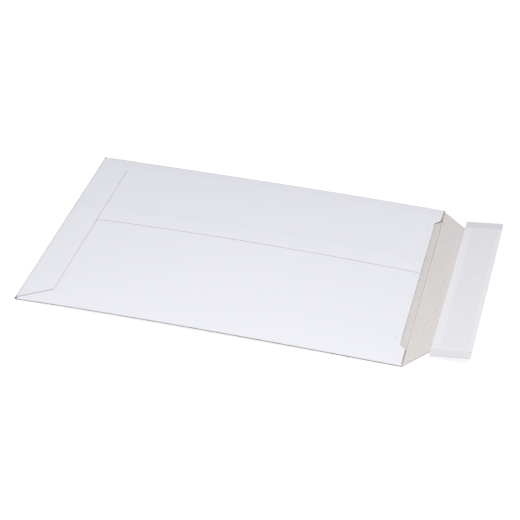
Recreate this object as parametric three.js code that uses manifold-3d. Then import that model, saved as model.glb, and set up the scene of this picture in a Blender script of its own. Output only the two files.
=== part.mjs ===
// Cardboard envelope: one die-cut sheet of solid board folded into a flat pocket, with its closing flap open
// and the adhesive on that flap still under its release liner.
//
// Millimetres, +Z up. The envelope lies on its front panel, and the origin is the middle of that panel's outer
// face. +X runs from the bottom fold to the mouth, and +Y from the near side fold to the far one.

import * as THREE from 'three';
import { mergeVertices } from 'three/addons/utils/BufferGeometryUtils.js';
import Module from 'manifold-3d';

const wasm = await Module();
wasm.setup();

// Body
const BODY_LENGTH = 316; // bottom fold to mouth fold
const BODY_WIDTH = 238; // near side fold to far side fold
const BOARD = 0.6; // thickness of the board
const POCKET_GAP = 0.4; // clear height inside the pocket along its folded edges
const FOLD_FACETS = 6; // facets round a folded edge
const CORNER_FACETS = 4; // facets round a cut corner
const GLUE_BED = 0.05; // how far a glued flap is pressed into the panel under it
const ROOT_LAP = 6; // length over which the bottom flap's root is one with the front panel
const BEND_CLEARANCE = 0.3; // between the back panels' bottom edges and the bend of the bottom fold

// Back panels: the far one laps over the near one
const SEAM_FROM_NEAR = 131; // near side fold to the far panel's cut edge
const SEAM_OVERLAP = 18; // width of the glued lap
const SEAM_RAMP = 12; // length over which a panel comes down past the lap
const SIDE_CREASE_INSET = 17; // side fold to the score line beside it
const MOUTH_CREASE_INSET = 18.5; // mouth fold to the score line across the back
const CREASE_RISE = 0.7; // height of the scored frame over the folded edges
const MOUTH_LIFT = 0.1; // share of that rise that is left at the mouth
const DOME_RISE = 1.3; // how far the back bulges inside the scored frame
const DOME_STEPS = 6; // facets of the bulge each way
const SCORE_WIDTH = 1.2; // width of a score line
const SCORE_DEPTH = 0.15; // depth of a score line

// Mouth recess in the back panels
const RECESS_DEPTH = 5.8; // mouth fold to the recessed edge
const RECESS_ROOT_INSET = 26; // side fold to the recess's inner corner
const RECESS_MOUTH_INSET = 21.5; // side fold to the recess's outer corner

// Bottom flap, glued over the back
const BOTTOM_FLAP_DEPTH = 27; // bottom fold to the flap's free edge
const BOTTOM_FLAP_INSET = 18.5; // side fold to the corner of that edge

// Closing flap
const FLAP_LENGTH = 50; // mouth fold to the outer edge
const FLAP_TILT = 6.6; // degrees that the open flap stands up from the front panel's plane
const FLAP_ROOT_INSET = 0.8; // side fold to the flap's side at the mouth fold
const FLAP_TAPER_LENGTH = 20; // mouth fold to the end of the sloping sides
const FLAP_TAPER_INSET = 25.5; // side fold to the flap's side where the slope ends
const FLAP_EDGE_INSET = 26.5; // side fold to the flap's side at the outer edge
const FLAP_CORNER_RADIUS = 3; // rounding of the outer corners

// Adhesive strip and release liner on the inside of the closing flap
const ADHESIVE_WIDTH = 22;
const ADHESIVE_THICKNESS = 0.1;
const ADHESIVE_MARGIN = 1.5; // bare board round the strip at the flap's outer edge and ends
const ADHESIVE_CORNER_RADIUS = 2.5;
const LINER_WIDTH = 32;
const LINER_THICKNESS = 0.1;
const LINER_EDGE_OVERHANG = 2; // past the flap's outer edge
const LINER_END_OVERHANG = 10; // past each of the flap's ends
const LINER_CORNER_RADIUS = 0.8;
const LAYER_GAP = 0.1; // clearance under each layer on the flap

const half = BODY_WIDTH / 2;
const edgeTop = 2 * BOARD + POCKET_GAP;
const bottomFold = -BODY_LENGTH / 2;
const mouthFold = BODY_LENGTH / 2;
const bottomBend = (edgeTop - GLUE_BED + BOARD) / 2;
const bottomEnd = bottomFold + bottomBend + BEND_CLEARANCE;
const bottomCrease = bottomFold + BOTTOM_FLAP_DEPTH;
const mouthCrease = mouthFold - MOUTH_CREASE_INSET;
const seam = -half + SEAM_FROM_NEAR;
const lapEnd = seam + SEAM_OVERLAP;
const rampEnd = lapEnd + SEAM_RAMP;
const halfScore = SCORE_WIDTH / 2;
const flapEdgeHalf = half - FLAP_EDGE_INSET;
const clearOfBack = edgeTop + CREASE_RISE + DOME_RISE + 3 * BOARD;
const { clamp, degToRad, inverseLerp, lerp } = THREE.MathUtils;

// Values spread evenly from start to end, both counted.
function spread(start, end, steps) {
  return Array.from({ length: steps + 1 }, (_, i) => lerp(start, end, i / steps));
}

// Pairs of a wall that turns back on itself round (u, v), from below to above by way of the side that
// side (-1 or 1) names.
function halfTurn(u, v, radius, side) {
  return spread(0, Math.PI, FOLD_FACETS).map((angle) => [radius, radius - BOARD].map((r) => (
    [u + side * r * Math.sin(angle), v - r * Math.cos(angle)])));
}

// Closed geometry of a board wall that runs through a row of stations. A section is a list of [outer, inner]
// pairs of [u, v] points that follow the wall round, and place(u, v, i) puts a point of station i in space.
// A closed wall joins its last pair to its first, and an open one ends in two cut edges.
function wall(sections, closed, place) {
  const positions = [];
  const triangles = [];
  const rows = sections.map((pairs, i) => pairs.map((pair) => pair.map(([u, v]) => {
    positions.push(...place(u, v, i));
    return positions.length / 3 - 1;
  })));
  const face = (a, b, c, d) => triangles.push(a, c, b, a, d, c);
  const count = sections[0].length;
  const last = rows.length - 1;
  for (let j = 0; j < count - (closed ? 0 : 1); j += 1) {
    const next = (j + 1) % count;
    for (let i = 0; i < last; i += 1) {
      face(rows[i][j][0], rows[i][next][0], rows[i + 1][next][0], rows[i + 1][j][0]);
      face(rows[i][j][1], rows[i + 1][j][1], rows[i + 1][next][1], rows[i][next][1]);
    }
    face(rows[0][j][0], rows[0][j][1], rows[0][next][1], rows[0][next][0]);
    face(rows[last][j][0], rows[last][next][0], rows[last][next][1], rows[last][j][1]);
  }
  for (let i = 0; i < last && !closed; i += 1) {
    face(rows[i][0][0], rows[i + 1][0][0], rows[i + 1][0][1], rows[i][0][1]);
    face(rows[i][count - 1][0], rows[i][count - 1][1], rows[i + 1][count - 1][1], rows[i + 1][count - 1][0]);
  }
  const geometry = new THREE.BufferGeometry();
  geometry.setAttribute('position', new THREE.Float32BufferAttribute(positions, 3));
  geometry.setIndex(triangles);
  return geometry;
}

// Flat plate between two heights, cut to an outline in plan.
function plate(outline, low, high) {
  const geometry = new THREE.ExtrudeGeometry(outline, {
    depth: high - low,
    bevelEnabled: false,
    curveSegments: CORNER_FACETS,
  });
  return geometry.translate(0, 0, low);
}

// Solid of a closed geometry, ready to be joined or cut.
function solidOf(geometry) {
  const bare = geometry.clone();
  bare.deleteAttribute('normal');
  bare.deleteAttribute('uv');
  const merged = mergeVertices(bare, 1e-4);
  return new wasm.Manifold(new wasm.Mesh({
    numProp: 3,
    vertProperties: merged.getAttribute('position').array,
    triVerts: Uint32Array.from(merged.getIndex().array),
  }));
}

// Geometry of a finished solid.
function geometryOf(solid) {
  const { vertProperties, triVerts } = solid.getMesh();
  const geometry = new THREE.BufferGeometry();
  geometry.setAttribute('position', new THREE.BufferAttribute(vertProperties, 3));
  geometry.setIndex(new THREE.BufferAttribute(triVerts, 1));
  geometry.computeVertexNormals();
  return geometry;
}

// Share of the crease rise that the back has at a station along the body: it climbs from the bottom fold to
// the flap's free edge, stays level, and comes down from the mouth's score line to the mouth.
function lift(x) {
  const fromBottom = clamp(inverseLerp(bottomEnd, bottomCrease, x), 0, 1);
  const towardsMouth = clamp(inverseLerp(mouthCrease, mouthFold, x), 0, 1);
  return fromBottom * lerp(1, MOUTH_LIFT, towardsMouth);
}

// Distance of the side score lines from the side folds. They run as diagonals into the four corners.
function creaseInset(x) {
  return Math.max(SIDE_CREASE_INSET * lift(x), edgeTop / 2 + SCORE_WIDTH);
}

// Height of the near panel's outer face at the side score lines, and inside them before the bulge is added.
function crest(x) {
  return edgeTop + CREASE_RISE * lift(x);
}

// Height that the bulge adds inside the scored frame.
function dome(x, y) {
  const along = clamp(2 * inverseLerp(bottomCrease, mouthCrease, x) - 1, -1, 1);
  const reach = half - creaseInset(x);
  return DOME_RISE * (1 - along ** 2) * Math.max(0, 1 - (y / reach) ** 2);
}

// Height that the lap adds to what lies over it, across the body.
function lapStep(y) {
  const up = clamp(inverseLerp(seam - SEAM_RAMP, seam, y), 0, 1);
  const down = clamp(inverseLerp(rampEnd, lapEnd, y), 0, 1);
  return BOARD * Math.min(up, down);
}

// Cross-section of the sleeve at a station, from the front panel round the near fold, over the back panels and
// down round the far fold. The outer skin has the score lines and the seam's step, and the inner skin has the
// near panel's tucked edge.
function sleeveSection(x) {
  const radius = edgeTop / 2;
  const reach = half - creaseInset(x);
  const sideScore = x < bottomCrease ? 0 : SCORE_DEPTH;
  const crossScore = x === mouthCrease ? SCORE_DEPTH : 0;
  const level = (y) => crest(x) + dome(x, y);
  const panel = (y, depth = crossScore) => [[y, level(y) - depth], [y, level(y) - BOARD]];
  const score = (y) => [panel(y - halfScore), panel(y, sideScore), panel(y + halfScore)];
  return [
    ...halfTurn(-half + radius, radius, radius, -1),
    ...score(-reach),
    ...spread(-reach + halfScore, seam, DOME_STEPS).slice(1).map((y) => panel(y)),
    [[seam, level(seam) + BOARD - crossScore], [lapEnd, level(lapEnd) - BOARD]],
    [[lapEnd, level(lapEnd) + BOARD - crossScore], [lapEnd, level(lapEnd)]],
    ...spread(rampEnd, reach - halfScore, DOME_STEPS).slice(0, -1).map((y) => panel(y)),
    ...score(reach),
    ...halfTurn(half - radius, radius, radius, 1).reverse(),
  ];
}

// Sleeve of the front panel, the two side folds and the two back panels, open at both ends.
function sleeve() {
  const stations = [
    bottomEnd,
    ...spread(bottomCrease, mouthCrease - halfScore, DOME_STEPS),
    mouthCrease,
    mouthCrease + halfScore,
    mouthFold,
  ];
  return solidOf(wall(stations.map(sleeveSection), true, (y, z, i) => [stations[i], y, z]));
}

// Tool that cuts the recess from the back panels and leaves the front panel whole.
function recessTool() {
  const root = half - RECESS_ROOT_INSET;
  const open = half - RECESS_MOUTH_INSET;
  const past = mouthFold + BOARD;
  const outline = new THREE.Shape([
    new THREE.Vector2(mouthFold - RECESS_DEPTH, -root),
    new THREE.Vector2(mouthFold, -open),
    new THREE.Vector2(past, -open),
    new THREE.Vector2(past, open),
    new THREE.Vector2(mouthFold, open),
    new THREE.Vector2(mouthFold - RECESS_DEPTH, root),
  ]);
  return solidOf(plate(outline, BOARD + POCKET_GAP / 2, clearOfBack));
}

// Lengthwise section of the bottom flap where the lap lifts it by a step: out along the front panel, round
// the bottom fold and back over the panels.
function bottomFlapSection(step) {
  const radius = bottomBend + step / 2;
  const root = bottomEnd + ROOT_LAP;
  const bed = crest(bottomCrease) + step - GLUE_BED;
  return [
    [[root, 0], [root, BOARD]],
    ...halfTurn(bottomFold + radius, radius, radius, -1),
    [[bottomCrease, bed + BOARD], [bottomCrease, bed]],
  ];
}

// Bottom flap riding over the lap of the back panels, with its mitred ends cut.
function bottomFlap() {
  const pastEnd = half + BOARD;
  const stations = [pastEnd, rampEnd, lapEnd, seam, seam - SEAM_RAMP, -pastEnd];
  const sections = stations.map((y) => bottomFlapSection(lapStep(y)));
  const wrapped = solidOf(wall(sections, false, (x, z, i) => [x, stations[i], z]));
  const pastFold = bottomFold - BOARD;
  const pastEdge = BOTTOM_FLAP_DEPTH + BOARD;
  const free = half - (BOTTOM_FLAP_INSET * pastEdge) / BOTTOM_FLAP_DEPTH;
  const mitred = new THREE.Shape([
    new THREE.Vector2(pastFold, -half),
    new THREE.Vector2(bottomFold, -half),
    new THREE.Vector2(bottomFold + pastEdge, -free),
    new THREE.Vector2(bottomFold + pastEdge, free),
    new THREE.Vector2(bottomFold, half),
    new THREE.Vector2(pastFold, half),
  ]);
  return wrapped.intersect(solidOf(plate(mitred, -BOARD, clearOfBack)));
}

// Outline of the closing flap in its own plane, with the mouth fold on the line x = 0.
function closingFlapOutline() {
  const root = half - FLAP_ROOT_INSET;
  const taper = half - FLAP_TAPER_INSET;
  const bend = FLAP_LENGTH - FLAP_CORNER_RADIUS;
  const round = flapEdgeHalf - FLAP_CORNER_RADIUS;
  const outline = new THREE.Shape();
  outline.moveTo(0, -root);
  outline.lineTo(FLAP_TAPER_LENGTH, -taper);
  outline.lineTo(bend, -flapEdgeHalf);
  outline.absarc(bend, -round, FLAP_CORNER_RADIUS, -Math.PI / 2, 0);
  outline.absarc(bend, round, FLAP_CORNER_RADIUS, 0, Math.PI / 2);
  outline.lineTo(FLAP_TAPER_LENGTH, taper);
  outline.lineTo(0, root);
  return outline;
}

// Strip with rounded corners in the flap's plane, from startX to endX and centred across the flap.
function stripOutline(startX, endX, halfLength, radius) {
  const outline = new THREE.Shape();
  outline.absarc(startX + radius, -halfLength + radius, radius, Math.PI, Math.PI * 1.5);
  outline.absarc(endX - radius, -halfLength + radius, radius, Math.PI * 1.5, Math.PI * 2);
  outline.absarc(endX - radius, halfLength - radius, radius, 0, Math.PI / 2);
  outline.absarc(startX + radius, halfLength - radius, radius, Math.PI / 2, Math.PI);
  return outline;
}

// Tool that presses the score line into the inside of the mouth fold, clear of the side folds.
function mouthScoreTool() {
  const section = new THREE.Shape([
    new THREE.Vector2(0, BOARD - SCORE_DEPTH),
    new THREE.Vector2(halfScore, BOARD + SCORE_DEPTH),
    new THREE.Vector2(-halfScore, BOARD + SCORE_DEPTH),
  ]);
  const length = BODY_WIDTH - 2 * edgeTop;
  return solidOf(plate(section, -length / 2, length / 2).rotateX(Math.PI / 2).translate(mouthFold, 0, 0));
}

// The flap and the layers on it share this frame, hinged up at the mouth fold.
const flapFrame = new THREE.Group();
flapFrame.position.set(mouthFold, 0, 0);
flapFrame.rotation.y = -degToRad(FLAP_TILT);
flapFrame.updateMatrix();

function envelopeBlank() {
  const flap = plate(closingFlapOutline(), 0, BOARD).applyMatrix4(flapFrame.matrix);
  const folded = sleeve().subtract(recessTool()).add(bottomFlap()).add(solidOf(flap));
  const board = new THREE.MeshStandardMaterial({ color: 0xe9eaef, roughness: 0.7, metalness: 0 });
  const blank = new THREE.Mesh(geometryOf(folded.subtract(mouthScoreTool())), board);
  blank.name = 'envelope_blank';
  return blank;
}

const adhesiveBed = BOARD + LAYER_GAP;

function adhesiveStrip() {
  const edge = FLAP_LENGTH - ADHESIVE_MARGIN;
  const reach = flapEdgeHalf - ADHESIVE_MARGIN;
  const outline = stripOutline(edge - ADHESIVE_WIDTH, edge, reach, ADHESIVE_CORNER_RADIUS);
  const film = new THREE.MeshStandardMaterial({ color: 0xdedcd6, roughness: 0.35, metalness: 0 });
  const strip = new THREE.Mesh(plate(outline, adhesiveBed, adhesiveBed + ADHESIVE_THICKNESS), film);
  strip.name = 'adhesive_strip';
  return strip;
}

function releaseLiner() {
  const edge = FLAP_LENGTH + LINER_EDGE_OVERHANG;
  const reach = flapEdgeHalf + LINER_END_OVERHANG;
  const outline = stripOutline(edge - LINER_WIDTH, edge, reach, LINER_CORNER_RADIUS);
  const bed = adhesiveBed + ADHESIVE_THICKNESS + LAYER_GAP;
  const paper = new THREE.MeshStandardMaterial({ color: 0xe6e6ea, roughness: 0.5, metalness: 0 });
  const liner = new THREE.Mesh(plate(outline, bed, bed + LINER_THICKNESS), paper);
  liner.name = 'release_liner';
  return liner;
}

flapFrame.add(adhesiveStrip(), releaseLiner());

const envelope = new THREE.Group();
envelope.add(envelopeBlank(), flapFrame);

export default envelope;
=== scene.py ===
"""Looks of a cardboard envelope that lies on its front panel with its closing flap open.

The board is one folded sheet: white coated outside, grey pulp inside, bare along its cuts. The adhesive
on the closing flap is still under its release liner. Lengths in the classes are millimetres in the
frame's own axes: +X from the bottom fold to the mouth, +Y from the near side fold to the far one, +Z up.
"""

import logging
import math
from dataclasses import dataclass, field
from enum import Enum, IntEnum

import bpy
from mathutils import Matrix, Vector


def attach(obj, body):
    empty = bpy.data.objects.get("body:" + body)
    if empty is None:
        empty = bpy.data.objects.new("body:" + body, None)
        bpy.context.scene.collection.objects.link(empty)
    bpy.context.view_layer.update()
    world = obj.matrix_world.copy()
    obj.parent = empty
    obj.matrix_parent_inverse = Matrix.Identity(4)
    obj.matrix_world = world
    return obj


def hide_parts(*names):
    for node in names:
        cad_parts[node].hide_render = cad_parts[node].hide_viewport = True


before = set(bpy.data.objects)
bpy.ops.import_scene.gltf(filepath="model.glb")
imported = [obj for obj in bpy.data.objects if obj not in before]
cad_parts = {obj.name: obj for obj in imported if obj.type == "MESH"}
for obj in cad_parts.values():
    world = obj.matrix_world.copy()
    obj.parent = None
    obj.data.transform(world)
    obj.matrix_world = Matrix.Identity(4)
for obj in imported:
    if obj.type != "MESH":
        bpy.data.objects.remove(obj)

MM = 0.001
IMAGE_WIDTH = 520
log = logging.getLogger("envelope")

Colour = tuple[float, float, float]
Point = tuple[float, float, float]


class Skin(IntEnum):
    """Place of each face of the board in the blank's list of materials."""

    OUTSIDE = 0
    INSIDE = 1
    CUT = 2


class Side(IntEnum):
    """Side of the body that a fold or panel is on."""

    NEAR = -1
    FAR = 1


class Slot(str, Enum):
    """The record's material slots."""

    BOARD = "board"
    ADHESIVE = "adhesive"
    LINER = "liner"


class Trait(str, Enum):
    """Attributes that the meshes carry for their materials."""

    SCORE = "score_line"
    # Painted shade along the folds and in the gaps beside the corner tabs.
    FOLD = "fold_line"
    # Painted highlight along the pressed-up ridges.
    RIDGE = "ridge_line"
    SHADE = "shade_band"
    STRIP_PLACE = "strip_place"


LINE_TRAITS = (Trait.SCORE, Trait.FOLD, Trait.RIDGE, Trait.SHADE)


def lerp(start: float, end: float, share: float) -> float:
    """Value a share of the way from start to end."""
    return start + (end - start) * share


def ramp(value: float, start: float, end: float) -> float:
    """Share of the way from start to end that a value has come, kept from 0 to 1."""
    return min(1.0, max(0.0, (value - start) / (end - start)))


def smooth(share: float) -> float:
    """Share with a level start and a level end."""
    return share * share * (3.0 - 2.0 * share)


def spread(start: float, end: float, steps: int) -> list[float]:
    """Values spread evenly from start to end, both counted."""
    return [lerp(start, end, i / steps) for i in range(steps + 1)]


class NodeGraph:
    """Fills a node tree with few words."""

    def __init__(self, tree: bpy.types.NodeTree) -> None:
        """Starts on an emptied tree."""
        self.tree = tree
        tree.nodes.clear()

    def feed(self, socket: bpy.types.NodeSocket, value: object) -> None:
        """Links or sets an input.

        Args:
            socket: The input.
            value: An output socket to link, or a plain value to set.
        """
        if isinstance(value, bpy.types.NodeSocket):
            self.tree.links.new(value, socket)
        else:
            socket.default_value = value

    def add(self, kind: str, inputs: dict | None = None, **settings: object) -> bpy.types.Node:
        """Adds a node.

        Args:
            kind: The node's type name.
            inputs: Values or output sockets by input name or number.
            **settings: The node's own properties.

        Returns:
            The node.
        """
        node = self.tree.nodes.new(kind)
        for name, value in settings.items():
            setattr(node, name, value)
        for name, value in (inputs or {}).items():
            self.feed(node.inputs[name], value)
        return node

    def math(self, operation: str, *operands: object) -> bpy.types.NodeSocket:
        """Adds a sum on numbers.

        Args:
            operation: Blender's name of the operation.
            *operands: Values or sockets.

        Returns:
            The result's socket.
        """
        return self.add("ShaderNodeMath", dict(enumerate(operands)), operation=operation).outputs[0]

    def fade(self, value: object, start: float, end: float,
             low: float = 0.0, high: float = 1.0) -> bpy.types.NodeSocket:
        """Adds a smooth step.

        Args:
            value: The number that moves it.
            start: Where the step starts.
            end: Where the step ends.
            low: Result up to the start.
            high: Result from the end on.

        Returns:
            The result's socket.
        """
        inputs = {"Value": value, "From Min": start, "From Max": end, "To Min": low, "To Max": high}
        return self.add("ShaderNodeMapRange", inputs, interpolation_type="SMOOTHSTEP").outputs[0]

    def blend(self, share: object, first: object, second: object,
              weight: float = 1.0) -> bpy.types.NodeSocket:
        """Adds a blend of two colours.

        Args:
            share: Share of the second colour.
            first: Colour at share 0.
            second: Colour at share 1.
            weight: Factor on the share.

        Returns:
            The blended colour's socket.
        """
        if weight != 1.0:
            share = self.math("MULTIPLY", share, weight)
        node = self.add("ShaderNodeMix", {0: share}, data_type="RGBA")
        for number, colour in ((6, first), (7, second)):
            self.feed(node.inputs[number], (*colour, 1.0) if isinstance(colour, tuple) else colour)
        return node.outputs[2]

    def own_place(self) -> bpy.types.NodeSocket:
        """Adds the place on a piece in its own frame, for a material."""
        return self.add("ShaderNodeTexCoord").outputs["Object"]

    def split(self, place: object) -> object:
        """Adds a split of a place into the sockets of its axes."""
        return self.add("ShaderNodeSeparateXYZ", {0: place}).outputs

    def join(self, **axes: object) -> bpy.types.NodeSocket:
        """Adds a vector from values of X, Y and Z, with 0 for those left out."""
        return self.add("ShaderNodeCombineXYZ", axes).outputs[0]

    def distance(self, across: object, along: object) -> bpy.types.NodeSocket:
        """Adds the distance that two gaps at a right angle give."""
        squares = [self.math("POWER", gap, 2.0) for gap in (across, along)]
        return self.math("SQRT", self.math("ADD", *squares))


class ShaderEffect:
    """A shader node group that is built once and placed in each material that uses it."""

    name = ""
    inputs: dict[str, float] = {}
    outputs: tuple[str, ...] = ()

    def tree(self) -> bpy.types.NodeTree:
        """Finds the group, or builds it on first use.

        Returns:
            The group's tree.
        """
        tree = bpy.data.node_groups.get(self.name)
        if tree is None:
            tree = bpy.data.node_groups.new(self.name, "ShaderNodeTree")
            for name, value in self.inputs.items():
                socket = tree.interface.new_socket(name, in_out="INPUT", socket_type="NodeSocketFloat")
                socket.default_value = value
            for name in self.outputs:
                tree.interface.new_socket(name, in_out="OUTPUT", socket_type="NodeSocketFloat")
            graph = NodeGraph(tree)
            source = graph.add("NodeGroupInput")
            sink = graph.add("NodeGroupOutput")
            self.fill(graph, source, sink)
        return tree

    def fill(self, graph: NodeGraph, source: bpy.types.Node, sink: bpy.types.Node) -> None:
        """Makes the effect between the group's input and output nodes."""
        raise NotImplementedError

    def place(self, graph: NodeGraph, **values: float) -> bpy.types.Node:
        """Puts the effect in a material.

        Args:
            graph: The material's graph.
            **values: Values for the inputs, with _ for a space in their names.

        Returns:
            The group node.
        """
        node = graph.add("ShaderNodeGroup", node_tree=self.tree())
        for name, value in values.items():
            graph.feed(node.inputs[name.replace("_", " ")], value)
        return node


class PulpTexture(ShaderEffect):
    """Cloudy grain, drawn-out fibres and flecks of recycled pulp."""

    name = "pulp_texture"
    inputs = {"Grain": 700.0, "Fleck": 420.0, "Fleck Cut": 0.66}
    outputs = ("Mottle", "Dark Flecks", "Pale Flecks")
    fibre_stretch = (0.35, 1.0, 1.0)
    fibre_share = 0.4
    fleck_softness = 0.05

    def fill(self, graph: NodeGraph, source: bpy.types.Node, sink: bpy.types.Node) -> None:
        """Adds the noises and cuts flecks from one of them.

        Args:
            graph: The group's graph.
            source: The group's input node.
            sink: The group's output node.
        """
        place = graph.own_place()
        drawn = graph.add("ShaderNodeMapping", {"Vector": place, "Scale": self.fibre_stretch}).outputs[0]
        grain = graph.add("ShaderNodeTexNoise", {
            "Vector": place, "Scale": source.outputs["Grain"], "Detail": 4.0, "Roughness": 0.62}).outputs[0]
        fibre = graph.add("ShaderNodeTexNoise", {
            "Vector": drawn, "Scale": source.outputs["Grain"], "Detail": 3.0, "Roughness": 0.7,
            "Distortion": 0.6}).outputs[0]
        fleck = graph.add("ShaderNodeTexNoise", {
            "Vector": place, "Scale": source.outputs["Fleck"], "Detail": 2.0, "Roughness": 0.5}).outputs[0]
        plain = graph.math("MULTIPLY", grain, 1.0 - self.fibre_share)
        graph.feed(sink.inputs["Mottle"], graph.math("MULTIPLY_ADD", fibre, self.fibre_share, plain))
        cut = source.outputs["Fleck Cut"]
        above = graph.math("SUBTRACT", fleck, cut)
        below = graph.math("SUBTRACT", graph.math("SUBTRACT", 1.0, fleck), cut)
        for name, excess in (("Dark Flecks", above), ("Pale Flecks", below)):
            graph.feed(sink.inputs[name], graph.fade(excess, 0.0, self.fleck_softness))


class LineShadeAndWear(ShaderEffect):
    """Uneven marks along the board's score lines, folds, pressed-up ridges and mouth band, which carry
    painted shade and painted highlight.
    """

    name = "line_shade_and_wear"
    inputs = {"Breaks": 160.0}
    # Fold and Shade carry painted shade, Ridge a painted highlight, Score pressing and burnish with some
    # painted shade and highlight.
    outputs = ("Score", "Fold", "Ridge", "Shade")
    least = 0.55
    break_from = 0.35
    break_to = 0.65

    def fill(self, graph: NodeGraph, source: bpy.types.Node, sink: bpy.types.Node) -> None:
        """Breaks the lines that the mesh carries with a noise.

        Args:
            graph: The group's graph.
            source: The group's input node.
            sink: The group's output node.
        """
        place = graph.own_place()
        noise = graph.add("ShaderNodeTexNoise", {
            "Vector": place, "Scale": source.outputs["Breaks"], "Detail": 2.0}).outputs[0]
        share = graph.fade(noise, self.break_from, self.break_to, self.least, 1.0)
        for name, trait in zip(self.outputs, LINE_TRAITS):
            line = graph.add("ShaderNodeAttribute", attribute_name=trait.value).outputs["Fac"]
            graph.feed(sink.inputs[name], graph.math("MULTIPLY", line, share))


PULP = PulpTexture()
LINE_SHADE_AND_WEAR = LineShadeAndWear()


@dataclass(frozen=True)
class Wrinkle:
    """The liner's arched wrinkle: the top of a circle on the flat strip."""

    centre: tuple[float, float] = (3.0, -17.0)
    radius: float = 28.0
    top_from: float = 0.86
    top_full: float = 0.96

    def mask(self, graph: NodeGraph, axes: object, half_width: float) -> bpy.types.NodeSocket:
        """Masks the arc.

        Args:
            graph: The graph of a material or of the strip.
            axes: Sockets of the place on the flat strip.
            half_width: Distance from the arc at which the mask ends.

        Returns:
            The mask's socket.
        """
        gaps = [graph.math("SUBTRACT", axes[i], self.centre[i] * MM) for i in (0, 1)]
        off_arc = graph.math("ABSOLUTE", graph.math("SUBTRACT", graph.distance(*gaps), self.radius * MM))
        line = graph.fade(off_arc, 0.0, half_width * MM, 1.0, 0.0)
        top = graph.fade(gaps[1], self.top_from * self.radius * MM, self.top_full * self.radius * MM)
        return graph.math("MULTIPLY", line, top)


WRINKLE = Wrinkle()


@dataclass(frozen=True)
class Finish:
    """What every surface of the envelope has: a name, a grain and a Principled shader over its own paint."""

    name: str = "finish"
    sheen: float = 0.35
    relief: float = 0.03
    bump: float = 0.5
    grain: float = 300.0
    fleck: float = 200.0
    fleck_cut: float = 0.7
    breaks: float = 150.0
    mottle_middle: float = 0.5
    tone_spread: float = 0.2
    rough_spread: float = 0.2
    roughest: float = 0.42
    smoothest: float = 0.3

    def material(self) -> bpy.types.Material:
        """Builds the material.

        Returns:
            The finished material.
        """
        made = bpy.data.materials.new(self.name)
        made.use_nodes = True
        graph = NodeGraph(made.node_tree)
        pulp = PULP.place(graph, Grain=self.grain, Fleck=self.fleck, Fleck_Cut=self.fleck_cut).outputs
        mottle = pulp["Mottle"]
        middle = self.mottle_middle
        tone = graph.fade(mottle, middle - self.tone_spread, middle + self.tone_spread)
        roughness = graph.fade(mottle, middle - self.rough_spread, middle + self.rough_spread,
                               self.roughest, self.smoothest)
        bump = graph.add("ShaderNodeBump", {
            "Strength": self.bump, "Distance": self.relief * MM, "Height": mottle})
        shader = graph.add("ShaderNodeBsdfPrincipled", {
            "Base Color": self.paint(graph, pulp, tone), "Roughness": roughness,
            "Normal": bump.outputs[0], "Specular IOR Level": self.sheen})
        graph.add("ShaderNodeOutputMaterial", {"Surface": shader.outputs[0]})
        return made

    def paint(self, graph: NodeGraph, pulp: object, tone: object) -> bpy.types.NodeSocket:
        """Gives the colour's socket."""
        raise NotImplementedError


@dataclass(frozen=True)
class CoatedBoard(Finish):
    """White clay-coated outside of the board."""

    name: str = "coated_board"
    relief: float = 0.02
    grain: float = 520.0
    fleck: float = 300.0
    breaks: float = 120.0
    tone_spread: float = 0.15
    roughest: float = 0.62
    smoothest: float = 0.5
    white: Colour = (0.797, 0.806, 0.842)
    clouded: Colour = (0.788, 0.797, 0.834)
    # Paler score lines: partly burnish, partly a painted highlight.
    burnish_and_highlight: Colour = (0.900, 0.903, 0.910)
    # Near-black painted shade for the folds' turned-under sides and open ends.
    fold_shade: Colour = (0.075, 0.075, 0.115)
    grey_fleck: Colour = (0.720, 0.725, 0.755)
    fleck_weight: float = 0.4
    nick: Colour = (0.420, 0.420, 0.450)
    nick_weight: float = 0.42
    nick_station: float = 148.3
    nick_from_middle: float = 84.2
    nick_half_length: float = 2.6
    nick_half_width: float = 0.42
    nick_least_height: float = 1.0

    def nicks(self, graph: NodeGraph) -> bpy.types.NodeSocket:
        """Masks the two small nicks that the folding machine's fingers leave beside the recess.

        Args:
            graph: The material's graph.

        Returns:
            The mask's socket.
        """
        axes = graph.split(graph.own_place())
        across = graph.math("ABSOLUTE", graph.math("SUBTRACT", axes[0], self.nick_station * MM))
        from_middle = graph.math("ABSOLUTE", axes[1])
        along = graph.math("ABSOLUTE", graph.math("SUBTRACT", from_middle, self.nick_from_middle * MM))
        mark = graph.math("GREATER_THAN", axes[2], self.nick_least_height * MM)
        for gap, half in ((across, self.nick_half_width), (along, self.nick_half_length)):
            mark = graph.math("MULTIPLY", mark, graph.fade(gap, half / 2 * MM, half * MM, 1.0, 0.0))
        return mark

    def paint(self, graph: NodeGraph, pulp: object, tone: object) -> bpy.types.NodeSocket:
        """Clouds the white, paints shade on the folds' turned-under sides and open ends, pales the score
        lines with burnish and a painted highlight, and marks the nicks.

        Args:
            graph: The material's graph.
            pulp: Sockets of the grain and the flecks.
            tone: Share of the pale tone.

        Returns:
            The colour's socket.
        """
        wear_and_shade = LINE_SHADE_AND_WEAR.place(graph, Breaks=self.breaks).outputs
        white = graph.blend(tone, self.clouded, self.white)
        flecked = graph.blend(pulp["Dark Flecks"], white, self.grey_fleck, self.fleck_weight)
        # Painted shade on the folds' turned-under sides and open ends.
        folded = graph.blend(wear_and_shade["Fold"], flecked, self.fold_shade)
        scored = graph.blend(wear_and_shade["Score"], folded, self.burnish_and_highlight)
        return graph.blend(self.nicks(graph), scored, self.nick, self.nick_weight)


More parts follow.
